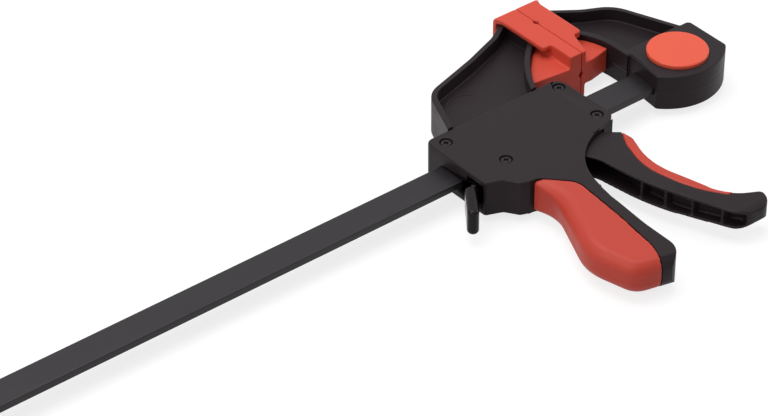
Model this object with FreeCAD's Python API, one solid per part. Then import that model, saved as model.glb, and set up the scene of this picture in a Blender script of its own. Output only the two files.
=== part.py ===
"""One-handed bar clamp, lying flat as on a bench, in millimetres.

X runs along the bar towards the fixed jaw, Y towards the jaw tips, Z up.
The origin is on the bar's centre line, in the plane where the closed pads meet.
The head with the pistol grip slides on the bar, the trigger walks it forward,
and the small lever at the rear lets it go. The red button frees the fixed jaw.
"""
import FreeCAD, Part
import math
import os

V = FreeCAD.Vector
os.makedirs("parts", exist_ok=True)

# Bar
bar_width = 19.5
bar_thick = 4.8
bar_chamfer = 0.5
bar_nose = 62.0
bar_tail = 470.0
bar_gap = 0.1
stop_pin_r = 2.0
stop_pin_length = 11.0
stop_pin_from_tail = 24.0

# Heights of the mouldings, measured from the bar's middle plane
case_half = 11.75
cover_thick = 3.2
moving_jaw_half = 12.75
fixed_jaw_half = 11.75
web_half = 3.75
flange = 3.6

# Head casing, distances from the closing plane and from the bar's centre line
case_rear = 126.8
case_top = 24.4
case_wall = 2.8
case_foot = 27.7
boss_r = 3.6
screw_r = 1.5
screw_head_r = 3.1
screw_head_high = 2.0
screw_length = 11.0
screw_slack = 0.3
counterbore_slack = 0.9
driver_wide = 3.7
driver_slot = 1.1
driver_depth = 1.1
rib_thick = 3.0
drive_bay = 51.5

# Jaws
jaw_reach = 90.8
jaw_nose = 9.1
moving_jaw_back = 112.7
fixed_jaw_back = 72.5

# Pads
pad_half = 16.5
pad_tip = 3.2
pad_reach = jaw_reach + pad_tip
pad_foot = 30.5
pad_cheek = 15.4
cheek_foot = 48.5
pad_curl = 17.0
pad_round = 3.9
pad_corner = 4.2
cheek_round = 2.5
notch_round = 2.0
seam_gap = 0.2
pad_slack = 0.15
pad_foot_thick = 3.3
fan_half = 7.9
groove_depth = 1.8
groove_half = 2.7
moving_fan_back = 35.5
fixed_fan_back = 24.4
fan_lift = 3.0
fan_round = 1.2
cross_groove_y = 73.0

# End block of the fixed jaw and its lock
block_left = 22.0
block_right = 78.1
block_top = 20.5
block_lean = 3.5
block_front_r = 37.0
block_shoulder = 12.4
block_apex = 40.8
block_round = 3.0
button_x = 49.7
button_r = 19.0
button_proud = 2.4
button_plate = 2.2
button_skirt = 2.2
button_round = 0.8
button_slack = 0.25
button_travel = 5.2
pocket_floor = 4.2
lock_r = 4.0
neck_r = 2.3
lock_slack = 0.06
bar_lock_slack = 0.1
clip_r = 6.0
clip_thick = 1.0
clip_room = 0.6
clip_groove = 0.8
button_wire_r = 0.4
button_coil_r = 6.0
button_turns = 3
coil_sides = 6
coil_runs = 8

# Grip
grip_length = 102.6
grip_top = 42.0
grip_front = 64.0
grip_width = 41.0
grip_skin = 4.0
grip_end = 107.9
grip_end_half = 10.2
grip_end_round = 9.6
grip_taper_from = 90.0

# Trigger
trigger_half = 7.4
trigger_wall = 1.6
trigger_reach = 140.0
trigger_x = 56.0
trigger_pivot_x = 40.5
trigger_pivot_y = 15.2
pivot_r = 2.5
pivot_slack = 0.05
eye_r = 5.8
trigger_rib = 1.6
trigger_tip = 138.9
trigger_tip_half = 5.9
trigger_taper_from = 95.0

# Drive plates, pushed by the trigger
plate_thick = 3.2
plate_count = 2
plate_half = 5.5
plate_gap = 0.1
plate_end = 18.0
cam_x = 44.9
cam_thick = 3.5
cam_top = 12.0
plate_push = 8.0
drive_wire_r = 0.5
drive_coil_r = 3.4
drive_turns = 6
drive_coil_y = 15.0
drive_coil_length = 15.5
guide_post_r = 2.4

# Brake plate and release lever
brake_x = 113.5
brake_y = 16.3
brake_pin_r = 2.0
brake_lean = 6.0
brake_thick = 3.5
brake_offset = 2.0
brake_end = 18.5
lever_boss_r = 4.2
lever_half = 4.5
paddle_half = 8.4
paddle_thick = 7.0
paddle_x = 143.6
paddle_y = 39.8
neck_x = 132.2
neck_y = 24.2
neck_thick = 3.6
lever_slot_top = 13.2
lever_slot_foot = 27.6
lever_slot_half = 9.0
brake_wire_r = 0.45
brake_wire_gap = 0.11
brake_coil_r = 3.0
brake_turns = 2.25
brake_leg = 7.0

# Shared values
overrun = 5.0
bar_half = bar_width / 2
bar_half_thick = bar_thick / 2
split_z = case_half - cover_thick
bay_half = split_z
clear_half = case_half + overrun
same_place = 1e-7


def save(name, shape):
    """Write one sub-part and print how many solids it has and its volume."""
    shape.exportStep("parts/" + name + ".step")
    print(name, len(shape.Solids), round(shape.Volume, 1), shape.isValid())


def rounded_wire(corners):
    """Close a flat outline of corners (x, y, radius), each corner an arc tangent to its two sides."""
    count = len(corners)
    ends = []
    for i in range(count):
        x, y, r = corners[i]
        p = V(x, y, 0)
        a = V(*corners[i - 1][:2], 0) - p
        b = V(*corners[(i + 1) % count][:2], 0) - p
        a.normalize()
        b.normalize()
        if r == 0:
            ends.append((p, p, p))
            continue
        half = a.getAngle(b) / 2
        run = r / math.tan(half)
        middle = a + b
        middle.normalize()
        reach = r / math.sin(half) - r
        ends.append((p + a * run, p + middle * reach, p + b * run))
    edges = []
    for i in range(count):
        start, middle, end = ends[i]
        if not start.isEqual(end, same_place):
            edges.append(Part.Arc(start, middle, end).toShape())
        following = ends[(i + 1) % count][0]
        if not end.isEqual(following, same_place):
            edges.append(Part.LineSegment(end, following).toShape())
    return Part.Wire(edges)


def prism(wire, low, high):
    """Fill a flat wire and carry it from one height to the other."""
    face = Part.Face(wire)
    face.translate(V(0, 0, low))
    return face.extrude(V(0, 0, high - low))


def slab(x0, x1, y0, y1, z0, z1):
    return Part.makeBox(x1 - x0, y1 - y0, z1 - z0, V(x0, y0, z0))


def disc(x, y, r, z0, z1):
    return Part.makeCylinder(r, z1 - z0, V(x, y, z0), V(0, 0, 1))


def mirrored(shape):
    return shape.mirror(V(0, 0, 0), V(0, 0, 1))


def wire_along(path, wire_r):
    """A six-sided wire along a path of short straight runs, mitred where they meet."""
    start = path[1] - path[0]
    start.normalize()
    side = start.cross(V(0, 0, 1))
    side.normalize()
    top = side.cross(start)
    ring = []
    for i in range(coil_sides + 1):
        angle = 2 * math.pi * i / coil_sides
        ring.append(path[0] + (side * math.cos(angle) + top * math.sin(angle)) * wire_r)
    return Part.makePolygon(path).makePipeShell([Part.makePolygon(ring)], True, False, 1)


def helix_points(radius, rise, turns):
    """Points of a helix about Z from z = 0, as many to the turn as the coils have runs."""
    count = round(turns * coil_runs)
    points = []
    for i in range(count + 1):
        angle = 2 * math.pi * turns * i / count
        points.append(V(radius * math.cos(angle), radius * math.sin(angle), rise * i / count))
    return points


def coil(radius, wire_r, length, turns):
    """A compression spring about Z, its wire's centre line starting at z = 0."""
    return wire_along(helix_points(radius, length, turns), wire_r)


def edge_wire(points):
    """Close an outline whose corners are given back from the closing plane as (back, y, radius)."""
    return rounded_wire([(-back, y, r) for back, y, r in points])


def lath(x0, y0, x1, y1, thick):
    """A flat bar with round ends between two points, seen from above."""
    run = V(x1 - x0, y1 - y0, 0)
    run.normalize()
    side = V(-run.y, run.x, 0) * (thick / 2)
    out = run * (thick / 2)
    a, b = V(x0, y0, 0), V(x1, y1, 0)
    corners = [a - out + side, b + out + side, b + out - side, a - out - side]
    return rounded_wire([(p.x, p.y, thick / 2) for p in corners])


def turned(shape, x, y, degrees):
    copy = shape.copy()
    copy.rotate(V(x, y, 0), V(0, 0, 1), degrees)
    return copy


# Outlines from above. Backward places are shares of the piece's own length,
# sideways places shares of its reach, and radii shares of its reach too.
moving_jaw_shares = [
    (1.0, 0.176, 0), (0.846, 0.66, 0.2), (0.479, 0.793, 0.44), (0.249, 0.898, 0.22), (0.12, 1.0, 0.02),
]
moving_throat_shares = [(0.283, 0.489, 1.05), (0.404, 0.176, 0)]
moving_throat_top_share = 0.694
fixed_jaw_shares = [(1.0, 0.176, 0), (0.743, 0.69, 0.27), (0.49, 0.79, 0.44), (0.16, 0.985, 0.01)]
fixed_throat_shares = [(0.323, 0.507, 0.44), (0.326, 0.176, 0)]
fixed_throat_top_share = 0.661
web_disc_share = 0.28
web_disc_back_share = 0.81
web_step = 0.5

casing_shares = [
    (1.0, 1.0, 0.2), (0.193, 1.0, 0.29), (0.189, -1.135, 0.33), (0.5166, -1.135, 1.97), (0.597, -2.95, 0),
    (0.647, -2.95, 0), (0.66, -2.46, 0), (0.71, -2.17, 0), (0.78, -1.9, 0), (0.827, -1.78, 0.2),
    (0.868, -1.7, 0.12), (0.911, -1.373, 0.16), (0.994, -1.2, 0.1),
]
bay_shares = [
    (0.978, 0.885, 0.06), (0.2155, 0.885, 0.06), (0.2155, -0.512, 0.04), (0.274, -0.512, 0.04),
    (0.274, -1.64, 0), (0.395, -2.87, 0), (0.588, -2.87, 0), (0.622, -2.4, 0.1), (0.622, -1.107, 0.04),
    (0.978, -1.107, 0.04),
]
screw_shares = [(0.928, 0.652), (0.239, 0.689), (0.246, -0.742), (0.8, -0.762)]
skin_shares = [
    (1.19, 0.006, 0), (0.943, 0.0175, 0.088), (0.792, 0.18, 0.117), (0.822, 0.565, 0.585),
    (0.852, 0.858, 0.292), (0.924, 1.053, 0), (1.19, 1.053, 0),
]
grip_shares = [
    (0.985, -0.06, 0), (0.947, 0.18, 0.28), (1.143, 0.64, 0.3), (1.06, 0.958, 0.14), (0.755, 1.082, 0.13),
    (0.762, 0.69, 0.6), (0.738, 0.39, 0.35), (0.667, -0.06, 0),
]
palm_round_share = 0.8
palm_shares = [
    (1.1, -0.25, 0), (0.947, 0.18, 0.28), (1.143, 0.64, 0.3), (1.06, 0.958, 0.14), (0.3, 1.155, 0),
    (0.3, -0.25, 0),
]
trigger_shares = [
    (0.827, 0.109, 0), (0.884, -0.143, 0.07), (1.018, -0.236, 0.03), (1.089, -0.282, 0.014),
    (1.004, -0.336, 0.11), (0.898, -0.6086, 1.07), (0.49, -0.982, 0.1), (0.113, -0.987, 0.06),
    (0.05, -0.912, 0.024), (0.384, -0.8436, 0.214), (0.634, -0.49, 0.343), (0.475, -0.318, 0.043),
    (0.489, -0.257, 0.021), (0.648, -0.207, 0.021), (0.648, -0.1, 0.07), (0.62, 0.109, 0),
]
insert_shares = [
    (0.2, -0.2, 0), (0.489, -0.254, 0), (0.6, -0.329, 0.143), (0.729, -0.493, 0.32), (0.607, -0.714, 0.43),
    (0.375, -0.846, 0), (0.1, -0.85, 0), (0.1, -0.2, 0),
]
channel_shares = [
    (1.6, 0.214, 0), (0.4, 0.214, 0), (0.4, -0.193, 0), (0.696, -0.221, 0.02), (0.68, -0.321, 0.1),
    (0.786, -0.493, 0.32), (0.67, -0.714, 0.43), (0.5, -0.857, 0.07), (0.36, -0.94, 0.02), (0.43, -0.985, 0),
    (1.6, -0.985, 0),
]
tip_round_share = 0.95
tie_end_shares = (0.64, 0.215)
trigger_rib_shares = [0.55, 0.66, 0.77, 0.89]


def jaw_wire(side, back, shares, throat_shares, throat_top, grow):
    """A curved jaw from above; side is -1 for the moving jaw and +1 for the fixed one."""
    corners = [(a * back, b * jaw_reach, r * jaw_reach) for a, b, r in shares]
    corners += [(jaw_nose, jaw_reach, 0), (jaw_nose, throat_top * jaw_reach, 0)]
    corners += [(a * back, b * jaw_reach, r * jaw_reach) for a, b, r in throat_shares]
    wire = rounded_wire([(side * x, y, r) for x, y, r in corners])
    if grow:
        wire = Part.Face(wire).makeOffset2D(grow).OuterWire
    return wire


def jaw_arm(side, back, half, shares, throat_shares, throat_top, foot):
    """A jaw as moulded: full height round its edges, a thin web between them."""
    arm = prism(jaw_wire(side, back, shares, throat_shares, throat_top, 0), -half, half)
    pocket = prism(jaw_wire(side, back, shares, throat_shares, throat_top, -flange), web_half, half + overrun)
    x0, x1 = sorted((0, side * (back + overrun)))
    pocket = pocket.common(slab(x0, x1, foot, jaw_reach, 0, half + overrun))
    return arm.cut(pocket).cut(mirrored(pocket))


def pad(side, back, half, shares, throat_shares, throat_top, fan_back, foot_thick):
    """A slip-on pad: clamping plate, two cheeks, a curl round the jaw's tip and a fan in its throat."""
    def block(x0, x1, y0, y1, z0, z1):
        a, b = sorted((side * x0, side * x1))
        return slab(a, b, y0, y1, z0, z1)
    face_x = seam_gap / 2
    plate_back = jaw_nose - pad_slack
    outline = rounded_wire([(side * x, y, r) for x, y, r in (
        (face_x, pad_foot, 0), (plate_back, pad_foot, 0), (plate_back, cheek_foot, notch_round),
        (pad_cheek, cheek_foot, cheek_round), (pad_cheek, jaw_reach + pad_slack - pad_corner, 0),
        (pad_curl, jaw_reach + pad_slack, 0), (pad_curl, pad_reach, 0), (face_x, pad_reach, 0))])
    body = prism(outline, -pad_half, pad_half)
    tips = [e for e in body.Edges if abs(e.CenterOfMass.y - pad_reach) < seam_gap and abs(
        abs(e.CenterOfMass.z) - pad_half) < seam_gap]
    body = body.makeFillet(pad_round, tips)
    fan = rounded_wire([
        (side * face_x, pad_foot, 0), (side * jaw_nose, pad_foot, 0),
        (side * fan_back, pad_foot + fan_lift, fan_round), (side * fan_back, throat_top * jaw_reach, 0),
        (side * face_x, throat_top * jaw_reach, 0)])
    thinned = rounded_wire([(side * jaw_nose, cheek_foot, 0), (side * foot_thick, pad_foot, 0),
                            (side * foot_thick, pad_foot - overrun, 0), (side * 2 * jaw_nose, pad_foot - overrun, 0),
                            (side * 2 * jaw_nose, cheek_foot, 0)])
    body = body.cut(prism(thinned, -2 * pad_half, 2 * pad_half))
    body = body.fuse(prism(fan, -fan_half, fan_half))
    room = prism(jaw_wire(side, back, shares, throat_shares, throat_top, pad_slack),
                 -half - pad_slack, half + pad_slack)
    body = body.cut(room)
    inner = block(jaw_nose - pad_slack, back, cheek_foot - overrun, jaw_reach + pad_slack,
                  -half - pad_slack, half + pad_slack)
    body = body.cut(inner.cut(slab(-back, back, 0, throat_top * jaw_reach, -fan_half, fan_half)))
    for along_z in (True, False):
        vee = Part.makePolygon([V(0, groove_half, 0), V(side * (face_x + groove_depth), 0, 0),
                                V(0, -groove_half, 0), V(0, groove_half, 0)])
        if along_z:
            vee.translate(V(0, cross_groove_y, -pad_half - overrun))
            body = body.cut(Part.Face(vee).extrude(V(0, 0, 2 * (pad_half + overrun))))
        else:
            vee.rotate(V(0, 0, 0), V(1, 0, 0), 90)
            vee.translate(V(0, pad_foot - overrun, 0))
            body = body.cut(Part.Face(vee).extrude(V(0, pad_reach - pad_foot + 2 * overrun, 0)))
    return body


def bar_prism(x0, x1, gap):
    return slab(x0, x1, -bar_half - gap, bar_half + gap, -bar_half_thick - gap, bar_half_thick + gap)


def make_bar():
    bar = bar_prism(-bar_tail, bar_nose, 0)
    bar = bar.makeChamfer(bar_chamfer, [e for e in bar.Edges if e.Length > bar_tail])
    nose_hole = disc(button_x, 0, lock_r + bar_lock_slack, -bar_thick, bar_thick)
    nose_slot = slab(button_x, bar_nose + overrun, -neck_r - bar_lock_slack, neck_r + bar_lock_slack,
                     -bar_thick, bar_thick)
    key = nose_hole.fuse(nose_slot)
    tail_key = turned(key, (bar_nose - bar_tail) / 2, 0, 180)
    pin_hole = disc(-bar_tail + stop_pin_from_tail, 0, stop_pin_r, -bar_thick, bar_thick)
    return bar.cut(key).cut(tail_key).cut(pin_hole)


def make_fixed_jaw():
    arm = jaw_arm(1, fixed_jaw_back, fixed_jaw_half, fixed_jaw_shares, fixed_throat_shares,
                  fixed_throat_top_share, block_top)
    outline = rounded_wire([
        (block_left, -block_shoulder, block_round), ((block_left + block_right) / 2, -block_apex, block_front_r),
        (block_right, -block_shoulder, block_round), (block_right, block_top, block_round),
        (block_left + block_lean, block_top, 0)])
    block = prism(outline, -case_half, case_half)
    body = arm.fuse(block)
    body = body.cut(bar_prism(0, bar_nose + bar_gap, bar_gap))
    body = body.cut(disc(button_x, 0, button_r + button_slack, pocket_floor, clear_half))
    body = body.cut(disc(button_x, 0, lock_r + lock_slack, -clear_half, pocket_floor))
    clip_seat = -case_half + clip_thick + clip_room + clip_groove
    body = body.cut(disc(button_x, 0, clip_r + clip_room, -clear_half, clip_seat))
    return body.removeSplitter()


def make_button():
    top = case_half + button_proud
    under = top - button_plate
    skirt_end = pocket_floor + button_travel
    cap = disc(button_x, 0, button_r, skirt_end, top)
    rim = [e for e in cap.Edges if abs(e.CenterOfMass.z - top) < button_round and len(e.Vertexes) == 1]
    cap = cap.makeChamfer(button_round, rim)
    cap = cap.cut(disc(button_x, 0, button_r - button_skirt, skirt_end - overrun, under))
    hub = disc(button_x, 0, lock_r, skirt_end - button_skirt, under)
    return cap.fuse(hub).cut(disc(button_x, 0, neck_r, 0, under))


def make_lock_pin():
    clip_top = -case_half + clip_thick + clip_room + clip_groove
    foot = clip_top - clip_thick - clip_groove
    shank_top = bar_half_thick + bar_lock_slack
    pin = disc(button_x, 0, lock_r, foot, shank_top)
    pin = pin.fuse(disc(button_x, 0, neck_r, shank_top, case_half + button_proud - button_plate))
    groove = disc(button_x, 0, clip_r, clip_top - clip_thick, clip_top).cut(
        disc(button_x, 0, lock_r - clip_groove, -clear_half, clear_half))
    return pin.cut(groove), clip_top


def make_clip(clip_top):
    ring = disc(button_x, 0, clip_r, clip_top - clip_thick, clip_top)
    ring = ring.cut(disc(button_x, 0, lock_r - clip_groove, -clear_half, clear_half))
    return ring.cut(slab(button_x, button_x + clip_r, -neck_r, neck_r, -clear_half, clear_half))


def make_button_spring():
    low = pocket_floor + button_wire_r
    high = case_half + button_proud - button_plate - button_wire_r
    spring = coil(button_coil_r, button_wire_r, high - low, button_turns)
    spring.translate(V(button_x, 0, low))
    return spring


def grip_wire(shares, inset=0):
    """Outline in the grip's own shares, in the plane of the casing's seam."""
    corners = [(x * (grip_front + grip_width), -grip_top - y * grip_length, r * grip_length) for x, y, r in shares]
    wire = edge_wire(corners)
    if inset:
        wire = Part.Face(wire).makeOffset2D(-inset).OuterWire
    return wire


def side_form(half, taper_from, tip_half, tip, tip_round, reach):
    """A form seen from the side: level, then tapering to a round tip, carried across from x = 0 back to reach."""
    corners = [(half, 2 * case_top, 0), (-half, 2 * case_top, 0), (-half, -taper_from, 0),
               (-tip_half, -tip, tip_round), (tip_half, -tip, tip_round), (half, -taper_from, 0)]
    wire = rounded_wire(corners)
    wire.rotate(V(0, 0, 0), V(0, 1, 0), 90)
    wire.translate(V(-reach, 0, 0))
    return Part.Face(wire).extrude(V(reach, 0, 0))


def palm_edges(blank, height):
    """The blank's edges at a height above or below the seam, all but those along its front and its top."""
    front = -palm_shares[-1][0] * (grip_front + grip_width) - overrun
    top = -grip_top - palm_shares[-1][1] * grip_length - overrun
    return [edge for edge in blank.Edges
            if abs(abs(edge.CenterOfMass.z) - height) < seam_gap
            and edge.CenterOfMass.x < front and edge.CenterOfMass.y < top]


def make_grip():
    """The grip's outline cut from a blank whose rim is round along the palm and the end, in three flats."""
    blank = prism(grip_wire(palm_shares), -case_half, case_half)
    rim = palm_round_share * case_half
    middle_flat = rim * (2 - math.sqrt(2))
    outer_flats = rim * (math.tan(math.pi / 8) - math.tan(math.pi / 16))
    blank = blank.makeChamfer(middle_flat, palm_edges(blank, case_half))
    blank = blank.makeChamfer(outer_flats, palm_edges(blank, case_half) + palm_edges(blank, case_half - middle_flat))
    from_the_side = side_form(case_half, grip_taper_from, grip_end_half, grip_top + grip_end, grip_end_round,
                              2 * (grip_front + grip_width))
    return blank.common(prism(grip_wire(grip_shares), -case_half, case_half)).common(from_the_side)


def make_head():
    """The two casing shells, the soft grip round the lower one's core, all cut from one outer form."""
    casing = edge_wire([(a * case_rear, b * case_top, r * case_top) for a, b, r in casing_shares])
    grip = make_grip()
    skin_zone = prism(grip_wire(skin_shares), -2 * case_half, 2 * case_half)
    core = prism(grip_wire(grip_shares, grip_skin), -case_half + grip_skin, case_half - grip_skin)
    skin = grip.common(skin_zone).cut(core)
    outer = prism(casing, -case_half, case_half).fuse(grip).cut(skin_zone)
    upper = slab(-2 * case_rear, 0, -2 * case_rear, case_rear, split_z, clear_half)
    cover = outer.common(upper)
    housing = outer.cut(upper).fuse(core.cut(upper))
    bay = prism(edge_wire([(a * case_rear, b * case_top, r * case_top) for a, b, r in bay_shares]),
                -bay_half, bay_half)
    housing = housing.cut(bay)
    arm = jaw_arm(-1, moving_jaw_back, moving_jaw_half, moving_jaw_shares, moving_throat_shares,
                  moving_throat_top_share, case_top)
    arm = arm.cut(slab(-2 * case_rear, 0, -case_rear, case_top, -2 * moving_jaw_half, 2 * moving_jaw_half))
    boss_x = -web_disc_back_share * moving_jaw_back
    step = disc(boss_x, case_top, web_disc_share * jaw_reach, web_half, web_half + web_step).common(
        prism(jaw_wire(-1, moving_jaw_back, moving_jaw_shares, moving_throat_shares, moving_throat_top_share,
                       -flange / 2), 0, clear_half))
    step = step.cut(slab(-2 * case_rear, 0, -case_rear, case_top, 0, clear_half))
    housing = housing.fuse(arm).fuse(step).fuse(mirrored(step))
    return cover, housing, skin


def finish_head(cover, housing):
    """Add the inner walls, screw columns, pin seats and the openings for bar and lever."""
    wall_x = -drive_bay - drive_coil_length - plate_push - rib_thick
    inner = []
    low_y = -case_foot + case_wall / 2
    inner.append(slab(wall_x - rib_thick, wall_x, low_y, case_top - case_wall / 2, -bay_half, bay_half))
    post = Part.makeCylinder(guide_post_r, -drive_bay - wall_x - plate_push - drive_wire_r,
                             V(wall_x, drive_coil_y, 0), V(1, 0, 0))
    inner.append(post)
    for a, b in screw_shares:
        inner.append(disc(-a * case_rear, b * case_top, boss_r, -bay_half, bay_half))
    for piece in inner:
        housing = housing.fuse(piece)
    housing = housing.cut(bar_prism(-case_rear - overrun, 0, bar_gap))
    housing = housing.cut(slab(-case_rear - overrun, -case_rear + case_wall + overrun / 2,
                               -lever_slot_foot, -lever_slot_top, -lever_slot_half, lever_slot_half))
    for a, b in screw_shares:
        x, y = -a * case_rear, b * case_top
        housing = housing.cut(disc(x, y, screw_r + pivot_slack, split_z - screw_length, case_half))
        cover = cover.cut(disc(x, y, screw_r + screw_slack, 0, case_half + overrun))
        cover = cover.cut(disc(x, y, screw_head_r + counterbore_slack, case_half - screw_head_high - screw_slack,
                               case_half + overrun))
    for x, y, r in ((-trigger_pivot_x, trigger_pivot_y, pivot_r), (-brake_x, -brake_y, brake_pin_r)):
        seat = disc(x, y, r, -case_half + case_wall / 2, case_half - case_wall / 2)
        housing = housing.cut(seat)
        cover = cover.cut(seat)
    return cover.removeSplitter(), housing.removeSplitter()


def make_screws():
    screws = []
    head_low = case_half - screw_head_high - screw_slack
    head_top = head_low + screw_head_high - screw_slack
    for a, b in screw_shares:
        x, y = -a * case_rear, b * case_top
        screw = disc(x, y, screw_head_r, head_low, head_top).fuse(
            disc(x, y, screw_r, head_low - screw_length + screw_head_high, head_low))
        for wide, deep in ((driver_wide, driver_slot), (driver_slot, driver_wide)):
            screw = screw.cut(slab(x - wide / 2, x + wide / 2, y - deep / 2, y + deep / 2,
                                   head_top - driver_depth, head_top + overrun))
        screws.append(screw)
    return Part.makeCompound(screws)


def trigger_side(inset):
    """The trigger from the side, thinner and round at its tip."""
    tip_half = trigger_tip_half - inset
    return side_form(trigger_half - inset, trigger_taper_from, tip_half, trigger_tip - inset,
                     tip_half * tip_round_share, 2 * trigger_x)


def make_trigger():
    whole = prism(edge_wire([(a * trigger_x, b * trigger_reach, r * trigger_reach) for a, b, r in trigger_shares]),
                  -trigger_half, trigger_half)
    zone = prism(edge_wire([(a * trigger_x, b * trigger_reach, r * trigger_reach) for a, b, r in insert_shares]),
                 -2 * trigger_half, 2 * trigger_half)
    whole = whole.common(trigger_side(0))
    insert = whole.common(zone)
    body = whole.cut(zone)
    eye = disc(-trigger_pivot_x, trigger_pivot_y, eye_r, -trigger_half, trigger_half)
    body = body.fuse(eye)
    inner_half = trigger_half - trigger_wall
    channel = prism(edge_wire([(a * trigger_x, b * trigger_reach, r * trigger_reach)
                               for a, b, r in channel_shares]), -inner_half, inner_half)
    ribs = []
    for share in trigger_rib_shares:
        y = -share * trigger_reach
        ribs.append(slab(-2 * trigger_x, 0, y - trigger_rib / 2, y + trigger_rib / 2, -inner_half, inner_half))
    cells = channel
    for rib in ribs:
        cells = cells.cut(rib.common(prism(edge_wire(
            [(a * trigger_x - trigger_rib, b * trigger_reach, r * trigger_reach) for a, b, r in trigger_shares]),
            -inner_half, inner_half)))
    body = body.cut(cells.common(trigger_side(trigger_wall)))
    cam = slab(-cam_x, -cam_x + cam_thick, -plate_end, -cam_top, -inner_half, inner_half)
    tie = prism(lath(-cam_x + cam_thick, -plate_end + cam_thick / 2, -tie_end_shares[0] * trigger_x,
                     -tie_end_shares[1] * trigger_reach, trigger_wall), -inner_half, inner_half)
    body = body.fuse(cam).fuse(tie)
    body = body.cut(disc(-trigger_pivot_x, trigger_pivot_y, pivot_r + pivot_slack, -trigger_half, trigger_half))
    return body, insert


def make_drive_plates():
    plates = []
    for i in range(plate_count):
        x = -cam_x - plate_gap - (i + 1) * plate_thick
        plate = slab(x, x + plate_thick, -plate_end, plate_end, -plate_half, plate_half)
        plates.append(plate.cut(bar_prism(x - overrun, x + plate_thick + overrun, bar_gap)))
    return Part.makeCompound(plates)


def make_drive_spring():
    spring = coil(drive_coil_r, drive_wire_r, drive_coil_length - 2 * drive_wire_r, drive_turns)
    spring.rotate(V(0, 0, 0), V(0, 1, 0), -90)
    back = -cam_x - plate_gap - plate_count * plate_thick
    spring.translate(V(back - drive_wire_r, drive_coil_y, 0))
    return spring


def make_brake():
    """Brake plate and release lever as they rest, the plate leaning on the bar."""
    pin = (-brake_x, -brake_y)
    x0 = -brake_x + brake_offset
    lean = math.radians(brake_lean)
    arm = brake_offset + brake_thick
    hole_top = (bar_half + bar_gap + brake_y + arm * math.sin(lean)) / math.cos(lean) - brake_y
    plate = slab(x0, x0 + brake_thick, -brake_y - brake_pin_r, brake_end, -plate_half, plate_half)
    plate = plate.cut(slab(x0 - overrun, x0 + brake_thick + overrun, -bar_half - bar_gap, hole_top,
                           -bar_half_thick - 2 * bar_gap, bar_half_thick + 2 * bar_gap))
    plate = plate.cut(disc(pin[0], pin[1], lever_boss_r, -plate_half, plate_half))
    socket = slab(-brake_x, x0 + brake_thick + trigger_wall, -brake_y - lever_boss_r, -lever_slot_top + bar_gap,
                  -lever_half, lever_half)
    boss = disc(pin[0], pin[1], lever_boss_r, -lever_half, lever_half)
    socket = socket.fuse(boss).cut(plate)
    arm_piece = prism(lath(-brake_x, -brake_y, -neck_x, -neck_y, neck_thick), -lever_half, lever_half)
    paddle = prism(lath(-neck_x, -neck_y, -paddle_x, -paddle_y, paddle_thick), -paddle_half, paddle_half)
    lever = turned(socket, pin[0], pin[1], -brake_lean).fuse(arm_piece).fuse(paddle)
    lever = lever.cut(turned(plate, pin[0], pin[1], -brake_lean))
    lever = lever.cut(disc(pin[0], pin[1], brake_pin_r + pivot_slack, -2 * lever_half, 2 * lever_half))
    plate = turned(plate, pin[0], pin[1], -brake_lean)
    rise = (2 * brake_wire_r + brake_wire_gap) * brake_turns
    turns = helix_points(brake_coil_r, rise, brake_turns)
    path = [turns[0] - V(0, brake_leg, 0)] + turns + [turns[-1] - V(brake_leg, 0, 0)]
    spring = turned(wire_along(path, brake_wire_r), 0, 0, 180)
    spring.translate(V(pin[0], pin[1], lever_half + brake_wire_r))
    return plate, lever, spring


def make_all():
    save("bar", make_bar())
    save("bar_end_stop", disc(-bar_tail + stop_pin_from_tail, 0, stop_pin_r, -stop_pin_length / 2,
                              stop_pin_length / 2))
    save("fixed_jaw", make_fixed_jaw())
    save("fixed_jaw_pad", pad(1, fixed_jaw_back, fixed_jaw_half, fixed_jaw_shares, fixed_throat_shares,
                              fixed_throat_top_share, fixed_fan_back, pad_foot_thick))
    save("jaw_button", make_button())
    pin, clip_top = make_lock_pin()
    save("jaw_lock_pin", pin)
    save("lock_pin_clip", make_clip(clip_top))
    save("button_spring", make_button_spring())
    cover, housing, skin = make_head()
    cover, housing = finish_head(cover, housing)
    save("head_cover", cover)
    save("head_housing", housing)
    save("grip_overmould", skin)
    save("cover_screws", make_screws())
    save("moving_jaw_pad", pad(-1, moving_jaw_back, moving_jaw_half, moving_jaw_shares, moving_throat_shares,
                               moving_throat_top_share, moving_fan_back, jaw_nose))
    save("trigger_pivot_pin", disc(-trigger_pivot_x, trigger_pivot_y, pivot_r, -case_half + case_wall / 2,
                                   case_half - case_wall / 2))
    save("release_pivot_pin", disc(-brake_x, -brake_y, brake_pin_r, -case_half + case_wall / 2,
                                   case_half - case_wall / 2))
    body, insert = make_trigger()
    save("trigger", body)
    save("trigger_insert", insert)
    save("drive_plates", make_drive_plates())
    save("drive_spring", make_drive_spring())
    plate, lever, spring = make_brake()
    save("brake_plate", plate)
    save("release_lever", lever)
    save("brake_spring", spring)


make_all()
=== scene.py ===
"""A one-handed bar clamp lying on a pale bench, seen as in a catalogue picture.

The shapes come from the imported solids. This script rounds their moulded edges, gives each
piece its finish, adds the small details, and sets the light and the camera.
Lengths are metres unless a name ends in mm.
"""
import math

import bpy
import numpy as np
from mathutils import Matrix, Vector


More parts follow.
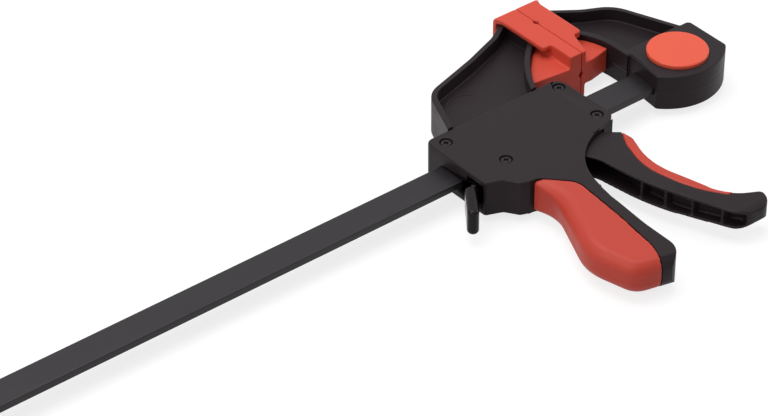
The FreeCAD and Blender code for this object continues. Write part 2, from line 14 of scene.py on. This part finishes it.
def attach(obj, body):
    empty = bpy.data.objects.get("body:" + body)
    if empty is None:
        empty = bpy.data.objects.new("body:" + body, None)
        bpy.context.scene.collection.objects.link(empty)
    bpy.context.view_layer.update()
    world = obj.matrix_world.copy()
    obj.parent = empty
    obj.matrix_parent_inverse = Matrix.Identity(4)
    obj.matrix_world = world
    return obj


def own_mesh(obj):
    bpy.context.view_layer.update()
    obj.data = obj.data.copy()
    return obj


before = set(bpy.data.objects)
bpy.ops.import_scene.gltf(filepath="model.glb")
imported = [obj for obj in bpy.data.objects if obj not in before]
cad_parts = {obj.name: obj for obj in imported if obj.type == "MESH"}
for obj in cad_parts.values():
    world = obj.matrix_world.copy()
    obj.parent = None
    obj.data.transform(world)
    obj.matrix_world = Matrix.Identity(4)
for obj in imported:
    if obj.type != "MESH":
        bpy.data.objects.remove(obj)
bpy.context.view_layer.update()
MM = 0.001


def linear(hex_colour):
    """An sRGB hex colour as linear red, green, blue and alpha."""
    parts = [int(hex_colour[i:i + 2], 16) / 255 for i in (1, 3, 5)]
    return tuple(c / 12.92 if c <= 0.04045 else ((c + 0.055) / 1.055) ** 2.4 for c in parts) + (1.0,)


# Materials

flow_patch_mm = 18.0
seam_height_mm = 0.3
streak_stretch = 25.0


def add(tree, kind, inputs=None, links=None, **settings):
    """Add one node, set its settings and input values, and link its inputs from other sockets."""
    node = tree.nodes.new(kind)
    for name, value in settings.items():
        setattr(node, name, value)
    for name, value in (inputs or {}).items():
        node.inputs[name].default_value = value
    for name, source in (links or {}).items():
        tree.links.new(source, node.inputs[name])
    return node


def blank(name):
    """A new material with only its output node: the material, its node tree and that node."""
    material = bpy.data.materials.new(name)
    material.use_nodes = True
    material.node_tree.nodes.clear()
    out = material.node_tree.nodes.new("ShaderNodeOutputMaterial")
    return material, material.node_tree, out


def moulded(name, colour, worn, roughness, grain_mm, grain_depth_mm, patch=0.06, specular=0.5,
            seam_mm=0.0):
    """A moulded polymer: one body colour, faint flow patches, and the fine grain of an eroded mould.

    With a seam width, the ridge that the two mould halves leave runs round the piece at mid-height.
    """
    material, tree, out = blank(name)
    place = add(tree, "ShaderNodeTexCoord").outputs["Object"]
    flow = add(tree, "ShaderNodeTexNoise",
               {"Scale": 1 / (flow_patch_mm * MM), "Detail": 3.0, "Roughness": 0.6}, {"Vector": place})
    grain = add(tree, "ShaderNodeTexNoise", {"Scale": 1 / (grain_mm * MM), "Detail": 2.0, "Roughness": 0.7},
                {"Vector": place})
    tone = add(tree, "ShaderNodeMix", {"A": linear(colour), "B": linear(worn)},
               {"Factor": flow.outputs["Fac"]}, data_type="RGBA")
    gloss = add(tree, "ShaderNodeMapRange",
                {"From Min": 0.3, "From Max": 0.7, "To Min": roughness - patch, "To Max": roughness + patch},
                {"Value": flow.outputs["Fac"]})
    bump = add(tree, "ShaderNodeBump", {"Strength": 0.35, "Distance": grain_depth_mm * MM},
               {"Height": grain.outputs["Fac"]})
    if seam_mm:
        height = add(tree, "ShaderNodeSeparateXYZ", None, {"Vector": place}).outputs["Z"]
        away = add(tree, "ShaderNodeMath", None, {0: height}, operation="ABSOLUTE").outputs[0]
        ridge = add(tree, "ShaderNodeMapRange", {"From Max": seam_mm / 2 * MM, "To Min": 1.0, "To Max": 0.0},
                    {"Value": away}, interpolation_type="SMOOTHSTEP")
        bump = add(tree, "ShaderNodeBump", {"Strength": 1.0, "Distance": seam_height_mm * MM},
                   {"Height": ridge.outputs["Result"], "Normal": bump.outputs["Normal"]})
    shader = add(tree, "ShaderNodeBsdfPrincipled",
                 {"IOR": 1.5, "Specular IOR Level": specular},
                 {"Base Color": tone.outputs["Result"], "Roughness": gloss.outputs["Result"],
                  "Normal": bump.outputs["Normal"]})
    tree.links.new(shader.outputs["BSDF"], out.inputs["Surface"])
    return material


def rolled_steel(name, colour, bright, roughness, streak_mm, metallic=1.0):
    """Drawn or rolled steel: fine streaks along X, darker and lighter, over an even finish."""
    material, tree, out = blank(name)
    place = add(tree, "ShaderNodeTexCoord").outputs["Object"]
    along = add(tree, "ShaderNodeMapping", {"Scale": (1 / streak_stretch, 1.0, 1.0)}, {"Vector": place})
    streak = add(tree, "ShaderNodeTexNoise",
                 {"Scale": 1 / (streak_mm * MM), "Detail": 4.0, "Roughness": 0.65},
                 {"Vector": along.outputs["Vector"]})
    tone = add(tree, "ShaderNodeMix", {"A": linear(colour), "B": linear(bright)},
               {"Factor": streak.outputs["Fac"]}, data_type="RGBA")
    gloss = add(tree, "ShaderNodeMapRange", {"To Min": roughness - 0.07, "To Max": roughness + 0.07},
                {"Value": streak.outputs["Fac"]})
    bump = add(tree, "ShaderNodeBump", {"Strength": 0.2, "Distance": 0.01 * MM},
               {"Height": streak.outputs["Fac"]})
    shader = add(tree, "ShaderNodeBsdfPrincipled", {"Metallic": metallic},
                 {"Base Color": tone.outputs["Result"], "Roughness": gloss.outputs["Result"],
                  "Normal": bump.outputs["Normal"]})
    tree.links.new(shader.outputs["BSDF"], out.inputs["Surface"])
    return material


# Glass-filled nylon, moulded against an eroded cavity: dark, satin, with a barely seen grain.
casing_nylon = moulded("casing_nylon", "#211a1d", "#261f21", 0.44, 0.9, 0.03, specular=0.13)
# The same nylon on pieces whose mould parts at mid-height.
# The seam, really 0.2 mm wide, is drawn 1.2 mm wide to show.
seamed_nylon = moulded("seamed_casing_nylon", "#211a1d", "#261f21", 0.44, 0.9, 0.03, specular=0.13,
                       seam_mm=1.2)
# ABS from a polished cavity: black, with sharp window-like lights.
lever_abs = moulded("lever_abs", "#0f0b0b", "#140f0f", 0.17, 1.2, 0.01, patch=0.03, specular=0.15)
# Soft PVC, dipped or moulded: an even red that scatters light and hardly shines.
pad_pvc = moulded("pad_pvc", "#c74332", "#cb4937", 0.5, 1.1, 0.02, patch=0.04, specular=0.3)
# Thermoplastic elastomer moulded over the grip: deeper red, satin.
grip_tpe = moulded("grip_tpe", "#b1392b", "#ba3f31", 0.5, 0.8, 0.03, patch=0.07, specular=0.3)
# Coloured ABS for the push button: light orange red, smooth.
button_abs = moulded("button_abs", "#dc5238", "#de573e", 0.42, 1.4, 0.01, patch=0.03, specular=0.35)
# Rolled flat steel with a black finish: dark, with a long soft sheen.
bar_steel = rolled_steel("black_bar_steel", "#1b181b", "#252225", 0.4, 1.6, metallic=0.5)
# Zinc-plated turned steel: pale and bluish, quite bright.
zinc_steel = rolled_steel("zinc_plated_steel", "#a9abad", "#bfc1c3", 0.3, 0.8)
# Blanked and case-hardened plate: grey brown, dull.
plate_steel = rolled_steel("hardened_plate_steel", "#5b5856", "#6d6a67", 0.45, 0.9)
# Black oxide screws: nearly black with a metallic edge.
oxide_steel = rolled_steel("black_oxide_steel", "#232124", "#302d30", 0.38, 0.7, metallic=0.8)


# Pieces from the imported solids

# A face whose normal has less Z than the first is a wall, and with more than the second it is level
steep_below, level_above = 0.5, 0.99
# The least squared length that a mean of wall normals counts for
least_square = 0.45
# Edges that turn by more than the first are rounded, and those that turn by less than the second are blunt
edge_turn, blunt_turn = math.radians(18.0), math.radians(40.0)
join_mm, flat_turn, bevel_rings = 0.002, math.radians(0.4), 4


def inside(tree, low, high):
    """1 where a point, or an edge's middle, lies in a box given by two corners in mm, else 0."""
    place = add(tree, "GeometryNodeInputPosition").outputs["Position"]
    middle = [(a + b) / 2 * MM for a, b in zip(low, high)]
    half = [(b - a) / 2 * MM for a, b in zip(low, high)]
    offset = add(tree, "ShaderNodeVectorMath", {1: middle}, {0: place}, operation="SUBTRACT").outputs[0]
    scaled = add(tree, "ShaderNodeVectorMath", {1: half}, {0: offset}, operation="DIVIDE").outputs[0]
    size = add(tree, "ShaderNodeVectorMath", None, {0: scaled}, operation="ABSOLUTE").outputs[0]
    parts = add(tree, "ShaderNodeSeparateXYZ", None, {"Vector": size}).outputs
    flat = add(tree, "ShaderNodeMath", None, {0: parts["X"], 1: parts["Y"]}, operation="MAXIMUM").outputs[0]
    most = add(tree, "ShaderNodeMath", None, {0: flat, 1: parts["Z"]}, operation="MAXIMUM").outputs[0]
    return add(tree, "ShaderNodeMath", {1: 1.0}, {0: most}, operation="LESS_THAN").outputs[0]


def banded(tree, shape, low, high, toward, band, still=()):
    """Lay a band of quads along the edge of the level faces between two heights.

    The edge's rounding then runs clean. The level faces are extruded by nothing, and each new edge
    point moves by the mean of its walls' normals over that mean's squared length, times the band:
    inwards for a rim, outwards for a floor. The squared length is held at a least value, so that a
    folded corner doesn't shoot out, and points in the boxes of still don't move.
    """
    normal = add(tree, "GeometryNodeInputNormal").outputs["Normal"]
    place = add(tree, "GeometryNodeInputPosition").outputs["Position"]
    lie = add(tree, "ShaderNodeSeparateXYZ", None, {"Vector": normal}).outputs["Z"]
    height = add(tree, "ShaderNodeSeparateXYZ", None, {"Vector": place}).outputs["Z"]
    upright = add(tree, "ShaderNodeMath", None, {0: lie}, operation="ABSOLUTE").outputs[0]
    steep = add(tree, "ShaderNodeMath", {1: steep_below}, {0: upright}, operation="LESS_THAN").outputs[0]
    wall = add(tree, "ShaderNodeVectorMath", None, {0: normal, "Scale": steep}, operation="SCALE").outputs[0]
    walls = add(tree, "GeometryNodeFieldOnDomain", None, {0: wall}, data_type="FLOAT_VECTOR",
                domain="FACE").outputs[0]
    count = add(tree, "GeometryNodeFieldOnDomain", None, {0: steep}, data_type="FLOAT",
                domain="FACE").outputs[0]
    mean = add(tree, "ShaderNodeVectorMath", None, {0: walls, 1: count}, operation="DIVIDE").outputs[0]
    square = add(tree, "ShaderNodeVectorMath", None, {0: mean, 1: mean},
                 operation="DOT_PRODUCT").outputs["Value"]
    held = add(tree, "ShaderNodeMath", {1: least_square}, {0: square}, operation="MAXIMUM").outputs[0]
    step = add(tree, "ShaderNodeVectorMath", None, {0: mean, 1: held}, operation="DIVIDE").outputs[0]
    kept = add(tree, "GeometryNodeStoreNamedAttribute", {"Name": "inwards"},
               {"Geometry": shape, "Value": step}, data_type="FLOAT_VECTOR", domain="POINT")
    flat = add(tree, "ShaderNodeMath", {1: level_above}, {0: upright}, operation="GREATER_THAN").outputs[0]
    over = add(tree, "ShaderNodeMath", {1: low * MM}, {0: height}, operation="GREATER_THAN").outputs[0]
    under = add(tree, "ShaderNodeMath", {1: high * MM}, {0: height}, operation="LESS_THAN").outputs[0]
    both = add(tree, "ShaderNodeMath", None, {0: over, 1: under}, operation="MULTIPLY").outputs[0]
    chosen = add(tree, "ShaderNodeMath", None, {0: both, 1: flat}, operation="MULTIPLY").outputs[0]
    grown = add(tree, "GeometryNodeExtrudeMesh", {"Individual": False, "Offset Scale": 0.0},
                {"Mesh": kept.outputs["Geometry"], "Selection": chosen})
    stored = add(tree, "GeometryNodeInputNamedAttribute", {"Name": "inwards"},
                 data_type="FLOAT_VECTOR").outputs[0]
    for box in still:
        free = add(tree, "ShaderNodeMath", {0: 1.0}, {1: inside(tree, *box)}, operation="SUBTRACT").outputs[0]
        stored = add(tree, "ShaderNodeVectorMath", None, {0: stored, "Scale": free},
                     operation="SCALE").outputs[0]
    shift = add(tree, "ShaderNodeVectorMath", {"Scale": toward * band * MM}, {0: stored},
                operation="SCALE").outputs[0]
    moved = add(tree, "GeometryNodeSetPosition", None,
                {"Geometry": grown.outputs["Mesh"], "Selection": grown.outputs["Top"], "Offset": shift})
    return moved.outputs["Geometry"]


def rim_widths(name, widest_mm, plain_mm, blunt_mm, rules, bands):
    """Geometry nodes that give each sharp edge its rounding, as a share of the widest one.

    An edge takes the plain width, or the blunt width where its faces turn by little, or the width
    of the last rule (low corner, high corner, width) whose box, in mm, holds its middle.
    """
    tree = bpy.data.node_groups.new(name + "_rims", "GeometryNodeTree")
    tree.interface.new_socket("Geometry", in_out="INPUT", socket_type="NodeSocketGeometry")
    tree.interface.new_socket("Geometry", in_out="OUTPUT", socket_type="NodeSocketGeometry")
    shape = add(tree, "NodeGroupInput").outputs["Geometry"]
    for band in bands:
        shape = banded(tree, shape, *band)
    turn = add(tree, "GeometryNodeInputMeshEdgeAngle").outputs["Unsigned Angle"]
    edge = add(tree, "ShaderNodeMath", {1: edge_turn}, {0: turn}, operation="GREATER_THAN").outputs[0]
    blunt = add(tree, "ShaderNodeMath", {1: blunt_turn}, {0: turn}, operation="LESS_THAN").outputs[0]
    share = add(tree, "ShaderNodeMix", {"A": plain_mm / widest_mm, "B": blunt_mm / widest_mm},
                {"Factor": blunt}).outputs["Result"]
    for low, high, width in rules:
        share = add(tree, "ShaderNodeMix", {"B": width / widest_mm},
                    {"A": share, "Factor": inside(tree, low, high)}).outputs["Result"]
    weight = add(tree, "ShaderNodeMath", None, {0: share, 1: edge}, operation="MULTIPLY").outputs[0]
    store = add(tree, "GeometryNodeStoreNamedAttribute", {"Name": "bevel_weight_edge"},
                {"Geometry": shape, "Value": weight}, data_type="FLOAT", domain="EDGE")
    add(tree, "NodeGroupOutput", None, {"Geometry": store.outputs["Geometry"]})
    return tree


def dress(node, material, plain_mm=0.0, rules=(), blunt_mm=0.0, bands=()):
    """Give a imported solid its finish, and round its sharp edges as they are moulded."""
    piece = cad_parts[node]
    piece.data.materials.clear()
    piece.data.materials.append(material)
    weld = piece.modifiers.new("join", "WELD")
    weld.merge_threshold = join_mm * MM
    if plain_mm:
        flat = piece.modifiers.new("flatten", "DECIMATE")
        flat.decimate_type = "DISSOLVE"
        flat.angle_limit = flat_turn
        widest = max([plain_mm, blunt_mm] + [width for low, high, width in rules])
        rims = piece.modifiers.new("rims", "NODES")
        rims.node_group = rim_widths(node, widest, plain_mm, blunt_mm, rules, bands)
        bevel = piece.modifiers.new("round", "BEVEL")
        bevel.width = widest * MM
        bevel.segments = bevel_rings
        bevel.limit_method = "WEIGHT"
        bevel.use_clamp_overlap = False
        bevel.miter_outer = "MITER_ARC"
    smooth = piece.modifiers.new("even", "WEIGHTED_NORMAL")
    smooth.keep_sharp = False
    for face in piece.data.polygons:
        face.use_smooth = True
    return piece


def sculpted(node, material, cell_mm=0.75, passes=14):
    """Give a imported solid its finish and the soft, flowing edges of a thick overmoulding."""
    piece = dress(node, material)
    cells = piece.modifiers.new("cells", "REMESH")
    cells.mode = "VOXEL"
    cells.voxel_size = cell_mm * MM
    cells.use_smooth_shade = True
    soft = piece.modifiers.new("soft", "SMOOTH")
    soft.factor = 0.5
    soft.iterations = passes
    return piece


def level(z, low=(-300.0, -300.0), high=(300.0, 300.0), reach=0.15):
    """A box, in mm, that holds the edges at one height."""
    return (*low, z - reach), (*high, z + reach)


def around(x, y, half, z, reach=0.2):
    """A square box, in mm, about a place at one height."""
    return (x - half, y - half, z - reach), (x + half, y + half, z + reach)


# Where the mouldings are rounded, in mm, read from how wide their lit edges are
case_z, jaw_z, web_z, paddle_z, button_z = 11.75, 12.75, 3.75, 8.4, 14.15
web_step_z = 4.3
screw_places = ((-117.7, 15.9), (-30.3, 16.8), (-31.2, -18.1), (-101.4, -18.6))
screw_seat_half, screw_seat_rim = 5.5, 0.3
skin_low, skin_high, skin_rim = (-130.0, -170.0), (-81.5, -43.2), 0.3
folded_corner = level(case_z, (-41.0, -37.0), (-20.0, -6.0))
button_x, pocket_half, pin_hole_half, button_half = 49.7, 19.6, 8.0, 25.0

cover_rims = [(*level(case_z), 1.3), (*level(case_z, skin_low, skin_high), skin_rim)]
cover_rims += [(*around(x, y, screw_seat_half, case_z), screw_seat_rim) for x, y in screw_places]
cover_rims += [(*folded_corner, 0.15)]
housing_rims = [(*level(-case_z), 1.2), (*level(-case_z, skin_low, skin_high), skin_rim)]
for side in (-1, 1):
    low_z, high_z = sorted((side * web_z, side * web_step_z))
    housing_rims += [(*level(side * jaw_z), 1.0), (*level(side * web_z), 0.8),
                     ((-113.0, 24.0, low_z - 0.2), (-66.0, 50.5, high_z + 0.2), 0.2),
                     (*level(side * jaw_z, (-120.0, 21.0), (-30.0, 25.3)), 0.1)]
fixed_rims = [(*level(case_z), 1.0), (*level(-case_z), 1.0), (*level(web_z), 0.8), (*level(-web_z), 0.8),
              (*around(button_x, 0.0, pocket_half, case_z), 0.4),
              (*around(button_x, 0.0, pin_hole_half, -case_z), 0.3)]
paddle_rims = [(*level(paddle_z), 2.4), (*level(-paddle_z), 2.4)]
button_rims = [(*around(button_x, 0.0, button_half, button_z), 1.0)]

# Bands along the rims, in mm: lowest and highest z, -1 for inwards or 1 for outwards, and width
web_bands = [(-3.8, -3.7, 1, 0.95), (3.7, 3.8, 1, 0.95)]
housing_bands = [(-12.0, -11.5, -1, 1.3), (-13.0, -12.5, -1, 1.15), (12.5, 13.0, -1, 1.15)] + web_bands
end_bands = [(-12.0, -11.5, -1, 1.15), (11.5, 12.0, -1, 1.15)] + web_bands
cover_bands = [(11.5, 12.0, -1, 1.4, [folded_corner])]
paddle_bands = [(8.0, 9.0, -1, 2.6), (-9.0, -8.0, -1, 2.6)]

dress("head_housing", casing_nylon, 0.2, housing_rims, 0.0, housing_bands)
dress("head_cover", casing_nylon, 0.2, cover_rims, 0.0, cover_bands)
dress("fixed_jaw", seamed_nylon, 0.25, fixed_rims, 0.0, end_bands)
sculpted("trigger", seamed_nylon, 0.6, 6)
dress("release_lever", lever_abs, 0.3, paddle_rims, 0.0, paddle_bands)
sculpted("fixed_jaw_pad", pad_pvc, 0.6, 8)
sculpted("moving_jaw_pad", pad_pvc, 0.6, 8)
sculpted("grip_overmould", grip_tpe)
sculpted("trigger_insert", grip_tpe, 0.5, 7)
dress("jaw_button", button_abs, 0.2, button_rims, 0.2, [(14.0, 14.3, -1, 1.1)])
dress("bar", bar_steel, 0.35)
for turned in ("bar_end_stop", "jaw_lock_pin"):
    dress(turned, zinc_steel, 0.2)
for pin in ("trigger_pivot_pin", "release_pivot_pin"):
    dress(pin, zinc_steel)
dress("lock_pin_clip", zinc_steel)
dress("cover_screws", oxide_steel, 0.15)
for plate in ("drive_plates", "brake_plate"):
    dress(plate, plate_steel, 0.2)
for coil in ("drive_spring", "brake_spring", "button_spring"):
    dress(coil, zinc_steel)
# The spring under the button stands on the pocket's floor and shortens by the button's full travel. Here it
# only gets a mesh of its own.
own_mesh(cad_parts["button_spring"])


# Details that the solids don't have

# The arc on the moving jaw's web, in mm and degrees
arc_middle, arc_radius = (-78.4, 40.8), 15.2
arc_from, arc_to, arc_points = 152.0, 18.0, 60
arc_half_width, arc_height, arc_sunk = 0.55, 0.55, 0.1


def carried(name, path, half_width, height, sides=13):
    """A low ridge: half an ellipse carried along a level path, and closed underneath and at both ends.

    Point (i, j) lies at path[i], moved along the path's level normal by half_width times the cosine
    of the j-th angle of a half turn, and up by height times that angle's sine. Towards both ends
    the height runs out with the sine of the share of the way, to the power a third.
    """
    path = np.asarray(path) * MM
    along = np.gradient(path, axis=0)
    across = np.stack([-along[:, 1], along[:, 0], np.zeros(len(path))], 1)
    across /= np.linalg.norm(across, axis=1)[:, None]
    angle = np.linspace(0.0, math.pi, sides)
    start = 0.02
    rise = np.sin(np.linspace(start, math.pi - start, len(path))) ** (1 / 3)
    grid = path[:, None] + across[:, None] * (half_width * MM * np.cos(angle))[None, :, None]
    grid[:, :, 2] += height * MM * rise[:, None] * np.sin(angle)[None]
    rows, columns = grid.shape[:2]
    row, column = np.arange(rows - 1)[:, None] * columns, np.arange(columns)[None]
    here, beside = (row + column).ravel(), (row + (column + 1) % columns).ravel()
    quads = np.stack([here, beside, beside + columns, here + columns], 1)
    ends = [list(range(columns))[::-1], [(rows - 1) * columns + j for j in range(columns)]]
    mesh = bpy.data.meshes.new(name)
    mesh.from_pydata(grid.reshape(-1, 3).tolist(), [], quads.tolist() + ends)
    mesh.update()
    for face in mesh.polygons:
        face.use_smooth = len(face.vertices) == 4
    piece = bpy.data.objects.new(name, mesh)
    bpy.context.scene.collection.objects.link(piece)
    return piece


def web_arc():
    """The curved line on the moving jaw's web, a low ridge carried along part of a circle."""
    turn = np.radians(np.linspace(arc_from, arc_to, arc_points))
    path = np.stack([arc_middle[0] + arc_radius * np.cos(turn), arc_middle[1] + arc_radius * np.sin(turn),
                     np.full(turn.shape, web_z - arc_sunk)], 1)
    piece = carried("web_arc", path, arc_half_width, arc_height)
    piece.data.materials.append(casing_nylon)
    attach(piece, "clamp_head")


web_arc()


# Stage

rest_height = -16.5 * MM
look_at = Vector((-175.32, 1.16, 0.0)) * MM
heading, dip, roll = math.radians(38.1), math.radians(37.07), math.radians(-0.56)
camera_distance = 1705.07 * MM
focal_in_pixels = 3000.0
picture_wide_in_pixels = 768.0
film_wide_in_mm = 36.0
nearest, farthest = 0.05, 20.0
bench_half = 8.0
bench_glow, round_light, plain_white = 0.78, 0.25, 1.0
lit_place = Vector((-0.06, 0.0, 0.0))
# Name, place from what it lights, width and watts of each soft box
soft_boxes = (("overhead_box", (-0.2, 0.3, 1.6), 1.4, 22.0),
              ("left_box", (-1.4, -0.2, 0.9), 1.0, 8.5),
              ("right_box", (1.5, -0.5, 0.7), 1.0, 8.0))


def camera_axes():
    """Right, up and forward of the camera.

    Heading turns the view from +Y towards +X, dip looks down, and roll turns about the view.
    """
    right = Vector((math.cos(heading), -math.sin(heading), 0.0))
    ahead = Vector((math.sin(heading), math.cos(heading), 0.0))
    forward = ahead * math.cos(dip) - Vector((0.0, 0.0, math.sin(dip)))
    up = right.cross(forward)
    return right * math.cos(roll) + up * math.sin(roll), up * math.cos(roll) - right * math.sin(roll), forward


def place_camera():
    """The photograph's camera, as solved from the picture's own parallel edges."""
    right, up, forward = camera_axes()
    data = bpy.data.cameras.new("camera")
    data.sensor_width = film_wide_in_mm
    data.lens = data.sensor_width * focal_in_pixels / picture_wide_in_pixels
    data.clip_start, data.clip_end = nearest, farthest
    camera = bpy.data.objects.new("camera", data)
    bpy.context.scene.collection.objects.link(camera)
    turn = Matrix((right, up, -forward)).transposed()
    camera.matrix_world = Matrix.Translation(look_at - forward * camera_distance) @ turn.to_4x4()
    bpy.context.scene.camera = camera


def seen_rays(tree):
    """1 for rays that see a picture: from the camera, in a reflection or through a clear body."""
    ray = add(tree, "ShaderNodeLightPath").outputs
    seen = add(tree, "ShaderNodeMath", None, {0: ray["Is Camera Ray"], 1: ray["Is Glossy Ray"]},
               operation="MAXIMUM").outputs["Value"]
    return add(tree, "ShaderNodeMath", None, {0: seen, 1: ray["Is Transmission Ray"]},
               operation="MAXIMUM").outputs["Value"]


def floor():
    """A wide pale bench that reads as white in the picture and still takes the clamp's soft shadow."""
    mesh = bpy.data.meshes.new("bench_top")
    corners = [(x * bench_half, y * bench_half, rest_height) for x, y in ((-1, -1), (1, -1), (1, 1), (-1, 1))]
    mesh.from_pydata(corners, [], [(0, 1, 2, 3)])
    bench = bpy.data.objects.new("bench_top", mesh)
    bpy.context.scene.collection.objects.link(bench)
    material, tree, out = blank("white_paper")
    paper = add(tree, "ShaderNodeBsdfDiffuse", {"Color": linear("#c4c4c4")}).outputs["BSDF"]
    # What is seen of it: a greyer paper and a glow that come to white together, for a faint shadow
    shaded = add(tree, "ShaderNodeBsdfDiffuse", {"Color": linear("#8c8c8c")}).outputs["BSDF"]
    glow = add(tree, "ShaderNodeEmission",
               {"Color": (1, 1, 1, 1), "Strength": bench_glow}).outputs["Emission"]
    pictured = add(tree, "ShaderNodeAddShader", None, {0: shaded, 1: glow}).outputs["Shader"]
    mix = add(tree, "ShaderNodeMixShader", None, {"Fac": seen_rays(tree), 1: paper, 2: pictured})
    tree.links.new(mix.outputs["Shader"], out.inputs["Surface"])
    mesh.materials.append(material)


def lamp(name, place, aim, size, watts):
    """A square soft box at a place, turned towards a point."""
    data = bpy.data.lights.new(name, "AREA")
    data.size = size
    data.energy = watts
    light = bpy.data.objects.new(name, data)
    light.location = place
    light.rotation_mode = "QUATERNION"
    light.rotation_quaternion = (Vector(aim) - Vector(place)).to_track_quat("-Z", "Y")
    bpy.context.scene.collection.objects.link(light)


def surroundings():
    """Even pale light from all round, and plain white for what the camera and reflections see."""
    world = bpy.data.worlds.new("studio")
    world.use_nodes = True
    bpy.context.scene.world = world
    tree = world.node_tree
    tree.nodes.clear()
    soft = add(tree, "ShaderNodeBackground", {"Color": (1, 1, 1, 1), "Strength": round_light})
    white = add(tree, "ShaderNodeBackground", {"Color": (1, 1, 1, 1), "Strength": plain_white})
    mix = add(tree, "ShaderNodeMixShader", None,
              {"Fac": seen_rays(tree), 1: soft.outputs["Background"], 2: white.outputs["Background"]})
    add(tree, "ShaderNodeOutputWorld", None, {"Surface": mix.outputs["Shader"]})


bpy.context.scene.view_settings.view_transform = "Standard"
place_camera()
floor()
surroundings()
for name, offset, width, watts in soft_boxes:
    lamp(name, lit_place + Vector(offset), lit_place, width, watts)
